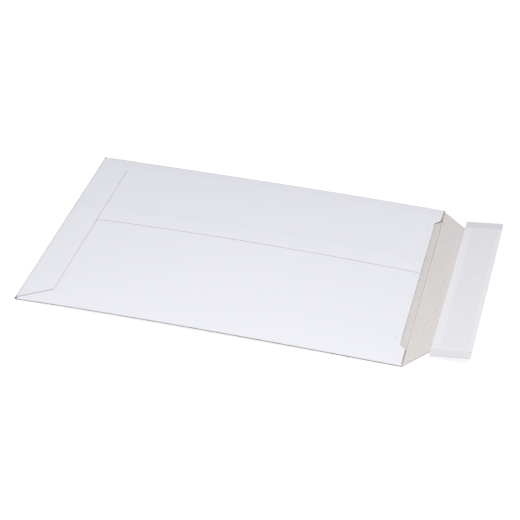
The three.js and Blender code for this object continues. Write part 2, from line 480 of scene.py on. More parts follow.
@dataclass(frozen=True)
class GreyBoard(Finish):
    """Uncoated inside of the board: grey recycled pulp with a warm cast."""

    name: str = "grey_board"
    sheen: float = 0.2
    relief: float = 0.06
    grain: float = 820.0
    fleck: float = 560.0
    fleck_cut: float = 0.63
    roughest: float = 0.9
    smoothest: float = 0.78
    dark_pulp: Colour = (0.608, 0.578, 0.561)
    pale_pulp: Colour = (0.710, 0.681, 0.664)
    dark_fleck: Colour = (0.520, 0.465, 0.450)
    pale_fleck: Colour = (0.765, 0.740, 0.728)
    fleck_weight: float = 0.5
    # Darker pressed score: partly pressed fibre, partly painted shade in the crease.
    pressed: Colour = (0.330, 0.275, 0.250)
    press_and_shade_weight: float = 0.75
    shaded: Colour = (0.500, 0.455, 0.430)
    shade_weight: float = 0.4
    # Painted highlight along the pressed-up ridges.
    raised: Colour = (0.780, 0.755, 0.742)
    ridge_highlight_weight: float = 0.7

    def paint(self, graph: NodeGraph, pulp: object, tone: object) -> bpy.types.NodeSocket:
        """Mixes pulp and flecks, darkens the pressed score with pressed fibre and painted shade, puts painted
        shade on the strip at the recess, and puts a painted highlight on the ridges.

        Args:
            graph: The material's graph.
            pulp: Sockets of the grain and the flecks.
            tone: Share of the pale tone.

        Returns:
            The colour's socket.
        """
        wear_and_shade = LINE_SHADE_AND_WEAR.place(graph, Breaks=self.breaks).outputs
        grey = graph.blend(tone, self.dark_pulp, self.pale_pulp)
        dark = graph.blend(pulp["Dark Flecks"], grey, self.dark_fleck, self.fleck_weight)
        pale = graph.blend(pulp["Pale Flecks"], dark, self.pale_fleck, self.fleck_weight)
        shaded = graph.blend(wear_and_shade["Shade"], pale, self.shaded, self.shade_weight)
        ridge_highlighted = graph.blend(wear_and_shade["Ridge"], shaded, self.raised, self.ridge_highlight_weight)
        return graph.blend(wear_and_shade["Score"], ridge_highlighted, self.pressed, self.press_and_shade_weight)


@dataclass(frozen=True)
class CutBoard(Finish):
    """Bare edge of the board where it was die-cut."""

    name: str = "cut_board"
    sheen: float = 0.1
    relief: float = 0.08
    grain: float = 1500.0
    fleck: float = 900.0
    fleck_cut: float = 0.6
    tone_spread: float = 0.15
    roughest: float = 0.95
    smoothest: float = 0.85
    # Plies darker than the board's grey pulp: painted shade of the narrow laps that the cut edges away from
    # the mouth stand in.
    dark_shaded_ply: Colour = (0.435, 0.415, 0.420)
    pale_shaded_ply: Colour = (0.505, 0.485, 0.490)
    warm_ply: Colour = (0.720, 0.620, 0.545)
    fleck_weight: float = 0.6
    # Painted shade of the gap beside a corner tab and of the folds' open ends.
    slit_shade: Colour = (0.200, 0.120, 0.100)
    warm_from: float = 159.0

    def paint(self, graph: NodeGraph, pulp: object, tone: object) -> bpy.types.NodeSocket:
        """Mixes the plies of the core, darkened with painted shade away from the mouth, and paints shade into
        the gaps beside the corner tabs and at the folds' open ends.

        Args:
            graph: The material's graph.
            pulp: Sockets of the grain and the flecks.
            tone: Share of the pale tone.

        Returns:
            The colour's socket.
        """
        wear_and_shade = LINE_SHADE_AND_WEAR.place(graph, Breaks=self.breaks).outputs
        # Cut edges near the mouth keep the warm tone; the rest take the darker plies, which carry painted
        # shade.
        ply = graph.blend(tone, self.dark_shaded_ply, self.pale_shaded_ply)
        station = graph.split(graph.own_place())[0]
        warm = graph.math("GREATER_THAN", station, self.warm_from * MM)
        toned = graph.blend(warm, ply, self.warm_ply)
        flecked = graph.blend(pulp["Dark Flecks"], toned, self.dark_shaded_ply, self.fleck_weight)
        # Painted shade in the gaps beside the corner tabs and at the folds' open ends.
        return graph.blend(wear_and_shade["Fold"], flecked, self.slit_shade)


@dataclass(frozen=True)
class LinerPaper(Finish):
    """Thin silicone-coated paper. What lies under it shows faintly: adhesive or board; its ends, over air,
    carry painted shade.
    """

    name: str = "liner_paper"
    sheen: float = 0.5
    relief: float = 0.02
    grain: float = 420.0
    tone_spread: float = 0.18
    roughest: float = 0.5
    smoothest: float = 0.4
    over_board: Colour = (0.788, 0.785, 0.814)
    over_adhesive: Colour = (0.771, 0.769, 0.789)
    board_show: Colour = (0.733, 0.730, 0.752)
    # Painted shade on the liner's ends past the flap, darker at the far end.
    shaded_far_end: Colour = (0.680, 0.689, 0.716)
    shaded_near_end: Colour = (0.716, 0.723, 0.743)
    flap_half: float = 92.5
    patch_half_length: float = 91.0
    patch_from: float = -9.3
    patch_to: float = 13.0
    softness: float = 1.5
    # Painted highlight along the wrinkle's crest.
    wrinkle_highlight: Colour = (0.840, 0.838, 0.850)
    wrinkle_highlight_weight: float = 0.32
    wrinkle_highlight_half_width: float = 1.1
    # Painted shadow line at the liner's ends and outer edge.
    rim_shadow: Colour = (0.430, 0.430, 0.450)
    rim_shadow_weight: float = 0.5
    rim_shadow_width: float = 0.7
    outer_rim_shadow: float = 0.5
    half_length: float = 102.5
    half_width: float = 16.0

    def rim_shadow_line(self, graph: NodeGraph, axes: object, along: object) -> bpy.types.NodeSocket:
        """Masks the painted shadow line at both ends and along the outer edge.

        Args:
            graph: The material's graph.
            axes: Sockets of the place on the strip.
            along: Distance from the strip's middle.

        Returns:
            The mask's socket.
        """
        ends = graph.fade(along, (self.half_length - self.rim_shadow_width) * MM, self.half_length * MM)
        outer = graph.fade(axes[0], (self.half_width - self.rim_shadow_width) * MM, self.half_width * MM,
                           0.0, self.outer_rim_shadow)
        return graph.math("MAXIMUM", ends, outer)

    def paint(self, graph: NodeGraph, pulp: object, tone: object) -> bpy.types.NodeSocket:
        """Paints the zones by the place on the strip, which the mesh carries in metres.

        Args:
            graph: The material's graph.
            pulp: Not used.
            tone: Share of the pale tone.

        Returns:
            The colour's socket.
        """
        place = graph.add("ShaderNodeAttribute", attribute_name=Trait.STRIP_PLACE.value).outputs["Vector"]
        axes = graph.split(place)
        along = graph.math("ABSOLUTE", axes[1])
        soft = self.softness * MM
        patch = graph.fade(axes[0], self.patch_from * MM - soft, self.patch_from * MM + soft)
        for gap, edge in ((axes[0], self.patch_to), (along, self.patch_half_length)):
            inside = graph.fade(gap, edge * MM - soft, edge * MM + soft, 1.0, 0.0)
            patch = graph.math("MULTIPLY", patch, inside)
        past = graph.fade(along, self.flap_half * MM - soft, self.flap_half * MM + soft)
        stuck = graph.blend(tone, self.board_show, self.over_adhesive)
        paper = graph.blend(patch, self.over_board, stuck)
        # Painted shade on the ends past the flap.
        end = graph.blend(graph.math("GREATER_THAN", axes[1], 0.0), self.shaded_near_end, self.shaded_far_end)
        plain = graph.blend(past, paper, end)
        # Painted shadow along the ends and the outer edge.
        rim_shadowed = graph.blend(self.rim_shadow_line(graph, axes, along), plain, self.rim_shadow, self.rim_shadow_weight)
        # Painted highlight along the wrinkle's crest.
        arc = WRINKLE.mask(graph, axes, self.wrinkle_highlight_half_width)
        return graph.blend(arc, rim_shadowed, self.wrinkle_highlight, self.wrinkle_highlight_weight)


@dataclass(frozen=True)
class AdhesiveFilm(Finish):
    """Dull film of pressure-sensitive adhesive with faint coating streaks."""

    name: str = "adhesive_film"
    sheen: float = 0.5
    thin: Colour = (0.690, 0.675, 0.640)
    thick: Colour = (0.750, 0.740, 0.715)

    def paint(self, graph: NodeGraph, pulp: object, tone: object) -> bpy.types.NodeSocket:
        """Streaks the film."""
        return graph.blend(tone, self.thin, self.thick)


@dataclass
class BoardSheet:
    """A sheet of board, gathered point by point: each has a place on the outer and on the inner skin."""

    outer: list[Point] = field(default_factory=list)
    inner: list[Point] = field(default_factory=list)
    marks: dict[Trait, list[float]] = field(default_factory=lambda: {trait: [] for trait in LINE_TRAITS})
    cells: list[tuple[int, int, int, int]] = field(default_factory=list)
    sharp_angle: float = 40.0

    def add_point(self, outer: Point, inner: Point, score: float = 0.0, fold: float = 0.0,
                  ridge: float = 0.0, shade: float = 0.0) -> int:
        """Adds a point.

        Args:
            outer: Its place on the outer skin.
            inner: Its place on the inner skin.
            score: How much of a score line it is: pressed and burnished, with some painted shade and
                highlight.
            fold: How much painted shade of a fold or of a gap beside a corner tab it carries.
            ridge: How much of a pressed-up ridge it is, which also takes a painted highlight.
            shade: How far it lies in the shaded band of the mouth.

        Returns:
            The point's number.
        """
        self.outer.append(outer)
        self.inner.append(inner)
        for trait, value in zip(LINE_TRAITS, (score, fold, ridge, shade)):
            self.marks[trait].append(value)
        return len(self.outer) - 1

    def join_rows(self, rows: list[list[int]]) -> None:
        """Fills the cells between rows of points, which follow each other along the body."""
        for before, after in zip(rows, rows[1:]):
            for i in range(len(before) - 1):
                self.cells.append((before[i], after[i], after[i + 1], before[i + 1]))

    def to_object(self, name: str, materials: dict[Skin, bpy.types.Material]) -> bpy.types.Object:
        """Turns the sheet into a closed piece with both skins and its cut edges.

        Args:
            name: The piece's name.
            materials: The material of each skin.

        Returns:
            The piece, linked to the scene.
        """
        count = len(self.outer)
        faces = []
        skins = []
        used = {edge for cell in self.cells for edge in zip(cell, (*cell[1:], cell[0]))}
        for cell in self.cells:
            faces += [cell, tuple(i + count for i in reversed(cell))]
            skins += [Skin.OUTSIDE, Skin.INSIDE]
        for start, end in sorted(used):
            if (end, start) not in used:
                faces.append((end, start, start + count, end + count))
                skins.append(Skin.CUT)
        mesh = bpy.data.meshes.new(name)
        mesh.from_pydata([[c * MM for c in p] for p in self.outer + self.inner], [], faces)
        for skin in Skin:
            mesh.materials.append(materials[skin])
        mesh.polygons.foreach_set("material_index", [int(s) for s in skins])
        for trait, values in self.marks.items():
            mesh.attributes.new(trait.value, "FLOAT", "POINT").data.foreach_set("value", values * 2)
        mesh.shade_smooth()
        mesh.set_sharp_from_angle(angle=math.radians(self.sharp_angle))
        mesh.validate()
        piece = bpy.data.objects.new(name, mesh)
        bpy.context.scene.collection.objects.link(piece)
        return piece


@dataclass
class EnvelopeBlank:
    """The folded sheet of board: front panel, two lapped back panels, bottom flap and closing flap."""

    body_length: float = 316.0
    body_width: float = 238.0
    board: float = 0.6
    pocket_gap: float = 0.4
    glue_line: float = 0.05
    fold_facets: int = 10

    seam_from_near: float = 131.0
    seam_overlap: float = 18.0
    seam_ramp: float = 12.0
    lap_rise: float = 0.36
    side_crease_inset: float = 17.0
    mouth_crease_inset: float = 18.5
    crease_rise: float = 0.7
    mouth_lift: float = 0.1
    dome_rise: float = 1.3
    score_width: float = 1.8
    edge_strip_least: float = 0.4
    score_depth: float = 0.08
    # Strengths of the score lines set groove depth and paint; the far line is paler than the near one, partly
    # a painted highlight.
    far_score: float = 0.65
    near_score: float = 0.12
    mouth_score: float = 0.36
    near_mouth_score: float = 0.2
    line_column: float = 0.9
    # Strengths of the painted shade on the folds and in the gaps beside the corner tabs.
    fold_least_shading: float = 0.7
    fold_shading: float = 0.18
    near_shading: float = 1.0
    near_top_shading: float = 0.08
    near_shading_start: float = -0.5
    near_shading_from: float = 0.55
    near_shading_full: float = 0.0
    far_shading: float = 0.78
    end_shading: float = 1.0
    end_shading_length: float = 5.0
    end_shading_width: float = 3.0
    near_slit_shade: float = 0.70
    far_slit_shade: float = 0.95
    slit_shade_at_fold: float = 0.50
    # Strength of the painted highlight on the bottom flap's far mitre edge.
    mitre_highlight_gain: float = 1.4

    recess_depth: float = 5.8
    recess_root_inset: float = 26.0
    recess_mouth_inset: float = 21.5
    recess_ramp: float = 14.0
    recess_far_shift: float = 2.1
    far_tab_set_back: float = 0.6
    corner_cut_slope: float = 0.8
    recess_cut_slope: float = 0.05

    bottom_flap_depth: float = 27.0
    bottom_flap_inset: float = 18.5
    bottom_clearance: float = 0.6

    flap_length: float = 50.0
    flap_tilt: float = 6.6
    flap_taper_length: float = 20.0
    flap_taper_inset: float = 25.5
    flap_edge_inset: float = 26.5
    flap_corner_radius: float = 3.0
    mouth_score_width: float = 0.7
    mouth_score_depth: float = 0.16
    mouth_line_least: float = 0.6
    mouth_line_from: float = -0.4
    mouth_line_full: float = 0.5
    mouth_shade: float = 0.5
    ridge_height: float = 0.06
    fold_ridge_at: float = 1.6
    fold_ridge_reach: float = 0.7
    liner_ridge: float = 0.6
    liner_ridge_at: float = 17.6

    near_bow: float = 2.0
    far_bow: float = 1.2
    near_bow_peak: float = 0.42
    far_bow_peak: float = 0.57

    front_columns: int = 64
    body_rows: int = 48
    panel_columns: int = 22
    least_columns: int = 4
    strip_columns: int = 5
    corner_columns: int = 3
    bottom_rows: int = 9
    mouth_rows: int = 11
    score_rows: int = 3
    bottom_flap_rows: int = 10
    liner_rows: int = 6
    flap_rows: int = 9
    flap_corner_rows: int = 6

    def __post_init__(self) -> None:
        """Works out the places that the sizes give."""
        self.half = self.body_width / 2
        self.edge_top = 2 * self.board + self.pocket_gap
        self.radius = self.edge_top / 2
        self.tangent = self.half - self.radius
        self.bottom_fold = -self.body_length / 2
        self.mouth_fold = self.body_length / 2
        self.bottom_crease = self.bottom_fold + self.bottom_flap_depth
        self.mouth_crease = self.mouth_fold - self.mouth_crease_inset
        self.seam = -self.half + self.seam_from_near
        self.lap_end = self.seam + self.seam_overlap
        self.ramp_end = self.lap_end + self.seam_ramp
        self.recess_root = self.half - self.recess_root_inset
        self.recess_mouth = self.half - self.recess_mouth_inset
        self.bottom_end = self.bottom_fold + self.bottom_bend(self.lap_end) + self.bottom_clearance

    def lift(self, x: float) -> float:
        """Share of the crease rise that the back has at a station along the body."""
        from_bottom = ramp(x, self.bottom_fold, self.bottom_crease)
        return from_bottom * lerp(1.0, self.mouth_lift, ramp(x, self.mouth_crease, self.mouth_fold))

    def crease(self, x: float) -> float:
        """Distance of the side score lines from the middle; they run as diagonals into the corners."""
        least = self.radius + self.score_width + self.edge_strip_least
        return self.half - max(self.side_crease_inset * self.lift(x), least)

    def bow(self, x: float, y: float) -> float:
        """Height that the whole envelope bows off what it lies on.

        Args:
            x: Station along the body.
            y: Place across the body.

        Returns:
            The height, which is nothing at the bottom and mouth folds.
        """
        along = ramp(x, self.bottom_fold, self.mouth_fold)
        across = ramp(y, -self.half, self.half)
        skew = math.log(0.5) / math.log(lerp(self.near_bow_peak, self.far_bow_peak, across))
        share = along ** skew
        return lerp(self.near_bow, self.far_bow, across) * 4.0 * share * (1.0 - share)

    def back_top(self, x: float, y: float) -> float:
        """Height of the back's outer face over the folded edges, without the lap.

        Args:
            x: Station along the body.
            y: Place across the body.

        Returns:
            The height before the bow is added.
        """
        reach = self.crease(x)
        rise = self.edge_top + self.crease_rise * self.lift(x)
        if abs(y) >= reach:
            return lerp(self.edge_top, rise, ramp(abs(y), self.tangent, reach))
        along = 2.0 * ramp(x, self.bottom_crease, self.mouth_crease) - 1.0
        return rise + self.dome_rise * (1.0 - along ** 2) * (1.0 - (y / reach) ** 2)

    def over_lap(self, y: float) -> float:
        """Height that the lap adds to what lies over it at a place across the body."""
        up = ramp(y, self.seam - self.seam_ramp, self.seam)
        down = ramp(y, self.ramp_end, self.lap_end)
        return self.lap_rise * min(smooth(up), smooth(down))

    def recess_share(self, y: float) -> float:
        """Share of the mouth recess that is cut at a place across the body; its far end lies further out."""
        place = abs(y) - (self.recess_far_shift if y > 0.0 else 0.0)
        return ramp(place, self.recess_mouth, self.recess_root)

    def recess(self, y: float) -> float:
        """Distance that a back panel's edge stands back from the mouth fold at a place across the body."""
        tab = self.far_tab_set_back if y > 0.0 else 0.0
        return lerp(tab, self.recess_depth, self.recess_share(y))

    def bottom_bend(self, y: float) -> float:
        """Outer radius of the bottom fold, which takes in the back panels and the flap."""
        return (self.edge_top + self.glue_line + self.board + self.over_lap(y)) / 2

    def back_station(self, x: float, y: float) -> float:
        """Station of a back panel's point, drawn back from the mouth where the recess is cut."""
        return x - self.recess(y) * smooth(ramp(x, self.mouth_fold - self.recess_ramp, self.mouth_fold))

    def score_at(self, x: float, offset: float, side: Side) -> float:
        """How plain the score lines are at a point of a back panel.

        Args:
            x: The point's station.
            offset: Its offset from the side score line, outwards.
            side: The panel's side.

        Returns:
            From 0, off every line, to 1.
        """
        reach = self.score_width / 2
        along = max(0.0, 1.0 - abs(offset) / reach) if x > self.bottom_crease else 0.0
        cross = max(0.0, 1.0 - abs(x - self.mouth_crease) / reach) if offset <= 0.0 else 0.0
        if side is Side.FAR:
            return max(along * self.far_score, cross * self.mouth_score)
        if x > self.mouth_crease:
            along = 0.0
        return max(along * self.near_score, cross * self.near_mouth_score)

    def panel_places(self, x: float, side: Side) -> list[tuple[float, float]]:
        """Places across a back panel at a station.

        Args:
            x: The station.
            side: The panel's side.

        Returns:
            Pairs of a place and its offset from the side score line, from the side fold to the cut edge.
        """
        reach = self.crease(x)
        score = self.score_width / 2
        fold_line = self.tangent - self.line_column
        strip = [(y, y - reach) for y in spread(fold_line, reach + score, self.strip_columns)[:-1]]
        strip += [(reach + d, d) for d in (score, score / 2, 0.0, -score / 2, -score)]
        shift = self.recess_far_shift if side is Side.FAR else 0.0
        corner = spread(self.recess_mouth + shift, self.recess_root + shift, self.corner_columns)
        end = self.seam if side is Side.FAR else -self.lap_end
        knots = [self.recess_root + shift]
        if side is Side.FAR:
            knots += [self.ramp_end, self.lap_end]
        knots += [end]
        inside = list(corner)
        for start, stop in zip(knots, knots[1:]):
            steps = round(self.panel_columns * (start - stop) / (knots[0] - knots[-1]))
            inside += spread(start, stop, max(self.least_columns, steps))[1:]
        return strip + [(y, y - reach) for y in inside]

    def panel(self, sheet: BoardSheet, x: float, side: Side) -> list[int]:
        """Adds one row of a back panel, from the side fold to its cut edge.

        Args:
            sheet: The sheet that takes the points.
            x: The row's station.
            side: The panel's side.

        Returns:
            The points' numbers.
        """
        row = []
        for place, offset in self.panel_places(x, side):
            y = side * place
            station = self.back_station(x, y)
            top = self.back_top(station, y) + self.bow(station, y)
            if side is Side.FAR:
                top += self.over_lap(y) + (self.glue_line if y < self.ramp_end else 0.0)
            score = self.score_at(station, offset, side)
            tab = 1.0 - self.recess_share(y)
            slope = lerp(self.recess_cut_slope, self.corner_cut_slope, smooth(tab))
            slope *= smooth(ramp(x, self.mouth_fold - self.recess_ramp, self.mouth_fold))
            # At the mouth fold the tabs' edges take painted shade of the gap beside them.
            row.append(sheet.add_point(
                (station - slope, y, top - self.score_depth * score), (station, y, top - self.board), score,
                fold=tab * self.slit_shade(y) if x == self.mouth_fold else 0.0))
        return row

    def side_fold(self, sheet: BoardSheet, x: float, side: Side) -> list[int]:
        """Adds one row of a side fold, from the back to the front panel.

        Args:
            sheet: The sheet that takes the points.
            x: The row's station.
            side: The fold's side.

        Returns:
            The points' numbers.
        """
        row = []
        middle = self.bow(x, side * self.half) + self.radius
        wear_and_shade = self.side_shading(x, side)
        for angle in spread(math.pi / 2, -math.pi / 2, self.fold_facets):
            skins = [(x, side * (self.tangent + r * math.cos(angle)), middle + r * math.sin(angle))
                     for r in (self.radius, self.radius - self.board)]
            # Painted shade: on the near fold its lower, turned-under half; on the far fold most at its
            # outermost part.
            if side is Side.NEAR:
                turned = ramp(angle, self.near_shading_from, self.near_shading_full)
                share = lerp(self.near_top_shading, 1.0, smooth(turned))
            else:
                share = lerp(self.fold_least_shading, 1.0, math.cos(angle))
            row.append(sheet.add_point(*skins, fold=wear_and_shade * share))
        return row

    def slit_shade(self, y: float) -> float:
        """How dark the painted shade in the gap between corner tab and closing flap is: the gap closes
        towards the side fold.
        """
        opening = ramp(abs(y), self.tangent, self.recess_mouth)
        return lerp(self.slit_shade_at_fold, 1.0, opening) * (self.far_slit_shade if y > 0.0 else self.near_slit_shade)

    def side_shading(self, x: float, side: Side) -> float:
        """How much painted shade a side fold carries at a station: most at its open ends, and more towards
        one end.

        Args:
            x: The station.
            side: The fold's side.

        Returns:
            From 0, no painted shade, to 1.
        """
        along = ramp(x, self.bottom_fold, self.mouth_fold)
        if side is Side.NEAR:
            wear_and_shade = lerp(self.fold_shading, self.near_shading, smooth(ramp(along, self.near_shading_start, 1.0)))
            mouth_end = ramp(x, self.mouth_fold - self.end_shading_length, self.mouth_fold)
        else:
            wear_and_shade = lerp(self.far_shading, self.fold_shading, along)
            mouth_end = 0.0
        bottom_end = ramp(x, self.bottom_end + self.end_shading_length, self.bottom_end)
        return max(wear_and_shade, self.end_shading * max(bottom_end, mouth_end))

    def front_places(self) -> list[float]:
        """Places across the front panel between the side folds, with a narrow column beside each fold."""
        edge = self.tangent - self.line_column
        return spread(edge, -edge, self.front_columns)

    def front(self, sheet: BoardSheet, x: float) -> list[int]:
        """Adds one row of the front panel between the side folds, from far to near.

        Args:
            sheet: The sheet that takes the points.
            x: The row's station.

        Returns:
            The points' numbers.
        """
        score = max(0.0, 1.0 - (self.mouth_fold - x) / self.mouth_score_width)
        strip = ramp(x, self.mouth_fold - self.mouth_score_width, self.mouth_fold - self.recess_depth)
        shade = 4.0 * self.mouth_shade * strip * (1.0 - strip)
        row = []
        for y in self.front_places():
            lift = self.bow(x, y)
            plain = score * self.mouth_line(y)
            inner = lift + self.board - self.mouth_score_depth * score
            row.append(sheet.add_point((x, y, lift), (x, y, inner), plain, shade=shade))
        return row

    def mouth_line(self, y: float) -> float:
        """How plain the mouth fold's line is across the body: it fades towards the near side."""
        share = ramp(y, self.mouth_line_from * self.half, self.mouth_line_full * self.half)
        return lerp(self.mouth_line_least, 1.0, smooth(share))

    def stations(self) -> list[float]:
        """Stations of the body's rows, closer together at the score lines and folds.

        Returns:
            The stations from the bottom fold to the mouth fold.
        """
        score = self.score_width / 2
        mouth_line = self.mouth_fold - self.mouth_score_width
        rows = spread(self.bottom_end, self.bottom_crease, self.bottom_rows)[:-1]
        rows += spread(self.bottom_crease, self.mouth_crease - score, self.body_rows)
        rows += [self.mouth_crease + d for d in (-score / 2, 0.0, score / 2, score)]
        rows += spread(self.mouth_crease + score, mouth_line, self.mouth_rows)[1:]
        return rows + spread(mouth_line, self.mouth_fold, self.score_rows)[1:]

    def bottom_flap(self, sheet: BoardSheet, root: list[int]) -> list[list[int]]:
        """Adds the bottom fold and the flap glued over the back.

        Args:
            sheet: The sheet that takes the points.
            root: The front panel's row next to the fold.

        Returns:
            Rows from the flap's free edge to the front panel.
        """
        rows = [root]
        places = [sheet.outer[i][1] for i in root]
        for angle in spread(0.0, math.pi, 2 * self.fold_facets):
            row = []
            for y in places:
                r = self.bottom_bend(y)
                skins = [(self.bottom_fold + r - s * math.sin(angle), y, r - s * math.cos(angle))
                         for s in (r, r - self.board)]
                # Painted shade on the bottom fold, most at its outermost part and at its open ends.
                at_end = abs(y) > self.tangent - self.end_shading_width
                wear_and_shade = self.end_shading if at_end else self.fold_shading
                share = lerp(self.fold_least_shading, 1.0, math.sin(angle))
                row.append(sheet.add_point(*skins, fold=wear_and_shade * share))
            rows.append(row)
        start = self.bottom_fold + self.bottom_bend(self.lap_end) + self.line_column
        for x in spread(start, self.bottom_crease, self.bottom_flap_rows):
            share = (x - self.bottom_fold) / self.bottom_flap_depth
            width = lerp(self.tangent, self.half - self.bottom_flap_inset, share) / self.tangent
            row = []
            for root_y in places:
                y = root_y * width
                bed = self.back_top(x, y) + self.bow(x, y) + self.over_lap(y) + self.glue_line
                # Painted highlight on the bottom flap's far mitre edge, through the score line's paint.
                mitre_highlight = min(1.0, self.mitre_highlight_gain * self.far_score) if root_y == places[0] else 0.0
                row.append(sheet.add_point((x, y, bed + self.board), (x, y, bed), mitre_highlight))
            rows.append(row)
        return rows[::-1]

    def flap_half(self, u: float) -> float:
        """Half the closing flap's length at a distance from the mouth fold."""
        taper = self.half - self.flap_taper_inset
        edge = self.half - self.flap_edge_inset
        if u < self.flap_taper_length:
            return lerp(self.tangent, taper, u / self.flap_taper_length)
        bend = self.flap_length - self.flap_corner_radius
        over = max(0.0, u - bend)
        rounding = self.flap_corner_radius - math.sqrt(max(0.0, self.flap_corner_radius ** 2 - over ** 2))
        return lerp(taper, edge, ramp(u, self.flap_taper_length, bend)) - rounding

    def closing_flap(self, sheet: BoardSheet, root: list[int]) -> list[list[int]]:
        """Adds the open closing flap.

        Args:
            sheet: The sheet that takes the points.
            root: The front panel's row at the mouth fold.

        Returns:
            Rows from the mouth fold to the flap's outer edge.
        """
        bend = self.flap_length - self.flap_corner_radius
        line = self.mouth_score_width
        distances = [line * share for share in (0.5, 1.0, self.fold_ridge_at, 2.4)]
        distances += spread(distances[-1], self.liner_ridge_at - line, self.liner_rows)[1:]
        distances += [self.liner_ridge_at, self.liner_ridge_at + line, self.flap_taper_length]
        distances += spread(self.flap_taper_length, bend, self.flap_rows)[1:]
        turns = spread(0.0, math.pi / 2, self.flap_corner_rows)[1:]
        distances += [bend + self.flap_corner_radius * math.sin(turn) for turn in turns]
        tilt = math.radians(self.flap_tilt)
        places = [sheet.outer[i][1] for i in root]
        rows = [root]
        for u in distances:
            width = self.flap_half(u) / self.tangent
            score = max(0.0, 1.0 - u / line)
            # The ridges are raised in the board and also carry a painted highlight.
            at_fold = 1.0 - abs(u - self.fold_ridge_at * line) / (self.fold_ridge_reach * line)
            at_liner = self.liner_ridge - abs(u - self.liner_ridge_at) / line
            ridge = max(0.0, at_fold, at_liner)
            inner = self.board - self.mouth_score_depth * score + self.ridge_height * ridge
            skins = [(self.mouth_fold + u * math.cos(tilt) - w * math.sin(tilt),
                      u * math.sin(tilt) + w * math.cos(tilt)) for w in (0.0, inner)]
            row = []
            for y in places:
                plain = self.mouth_line(y)
                ends = ((x, y * width, z) for x, z in skins)
                row.append(sheet.add_point(*ends, score * plain, ridge=ridge * plain))
            rows.append(row)
        return rows

    def build(self) -> bpy.types.Object:
        """Folds the sheet and dresses it.

        Returns:
            The piece that stands for the blank.
        """
        sheet = BoardSheet()
        rows = []
        fronts = []
        for x in self.stations():
            far = self.panel(sheet, x, Side.FAR)[::-1] + self.side_fold(sheet, x, Side.FAR)
            front = self.front(sheet, x)
            near = self.side_fold(sheet, x, Side.NEAR)[::-1] + self.panel(sheet, x, Side.NEAR)
            rows.append(far + front + near)
            fronts.append([far[-1]] + front + [near[0]])
        sheet.join_rows(rows)
        sheet.join_rows(self.bottom_flap(sheet, fronts[0]))
        sheet.join_rows(self.closing_flap(sheet, fronts[-1]))
        piece = sheet.to_object("folded_board", {
            Skin.OUTSIDE: CoatedBoard().material(),
            Skin.INSIDE: GreyBoard().material(),
            Skin.CUT: CutBoard(warm_from=self.mouth_fold - self.recess_depth - self.line_column).material(),
        })
        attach(piece, "root")
        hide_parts("envelope_blank")
        return piece


